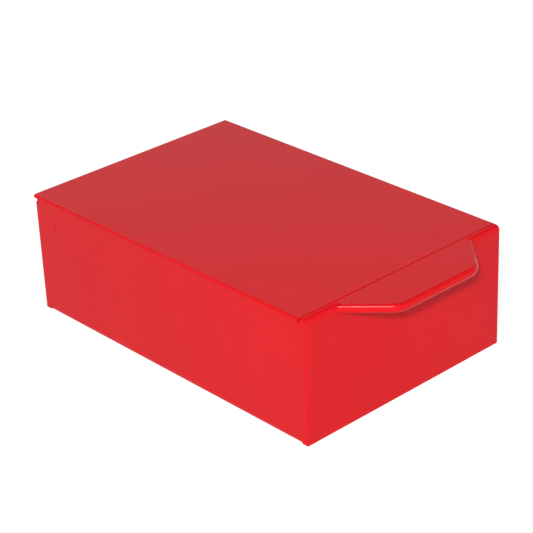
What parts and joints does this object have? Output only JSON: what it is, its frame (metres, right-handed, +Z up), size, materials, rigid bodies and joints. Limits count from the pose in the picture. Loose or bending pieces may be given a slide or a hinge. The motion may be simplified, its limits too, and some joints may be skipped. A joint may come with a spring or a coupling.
{
  "type": "cash box",
  "caption": "Small red enamelled steel cash box with a rear-hinged lid, a folded finger tab at the front and a lift-out coin tray with a wire handle.",
  "frame": {"origin": "on the underside of the floor, under the middle of the body", "axes": "+X to the right seen from the front, +Y to the hinge at the back, +Z up; the finger tab faces -Y"},
  "size_m": [0.1006, 0.1673, 0.0495],
  "materials": {
    "red_enamel": "gloss enamel on sheet steel",
    "tray_plastic": "moulded, fine grain",
    "bright_wire": "drawn steel wire"
  },
  "bodies": {
    "case": {"body_wrap": "red_enamel", "front_panel": "red_enamel", "back_panel": "red_enamel", "hinge_pin": "bright_wire", "tray_ledge_left": "red_enamel", "tray_ledge_right": "red_enamel"},
    "lid": {"lid_panel": "red_enamel", "lid_front_strip": "red_enamel"},
    "tray": {"coin_tray": "tray_plastic", "tray_divider_long": "tray_plastic", "tray_divider_short_1": "tray_plastic", "tray_divider_short_2": "tray_plastic", "tray_divider_short_3": "tray_plastic"},
    "handle": {"tray_handle": "bright_wire"}
  },
  "joints": [
    {"name": "lid_hinge", "type": "hinge", "parent": "case", "child": "lid", "pos_m": [0, 0.07505, 0.04765], "axis": [-1, 0, 0], "range_deg": [0, 105]},
    {"name": "tray_lift", "type": "slide", "parent": "case", "child": "tray", "axis": [0, 0, 1], "range_m": [0, 0.0147]},
    {"name": "handle_fold", "type": "hinge", "parent": "tray", "child": "handle", "pos_m": [0, 0, 0.0307], "axis": [-1, 0, 0], "range_deg": [0, 180]}
  ]
}
